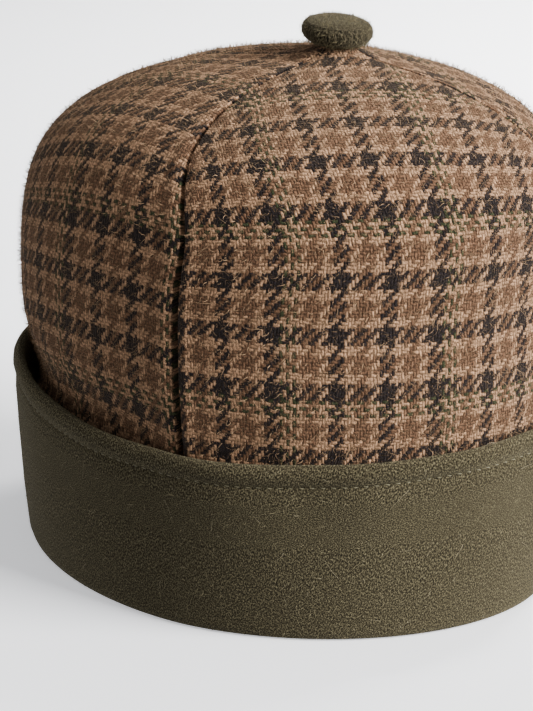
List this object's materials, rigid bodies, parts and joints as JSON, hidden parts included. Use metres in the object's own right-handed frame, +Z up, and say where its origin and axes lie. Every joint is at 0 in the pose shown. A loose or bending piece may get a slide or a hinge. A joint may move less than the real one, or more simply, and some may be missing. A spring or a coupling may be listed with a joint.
{
  "type": "tweed cap with turn-up cuff",
  "caption": "Round checked tweed cap of gores sewn to a point, with a deep turned-up felted wool cuff and a button on top covered in the cuff's wool.",
  "frame": {"origin": "centre of the cap's outline seen from above, on the plane that the folded lower edge of the cuff rests on", "axes": "+Z up, front of the cap toward -Y, long axis of the oval along Y, breadth along X"},
  "size_m": [0.194, 0.2381, 0.218],
  "materials": {
    "tweed": "hairy twill-woven check tweed",
    "felted_wool": "olive felted wool with a short nap"
  },
  "bodies": {
    "root": {"crown_front_left": "tweed", "crown_back_left": "tweed", "crown_back_right": "tweed", "crown_front_right": "tweed", "cuff": "felted_wool", "button": "felted_wool"}
  },
  "joints": []
}
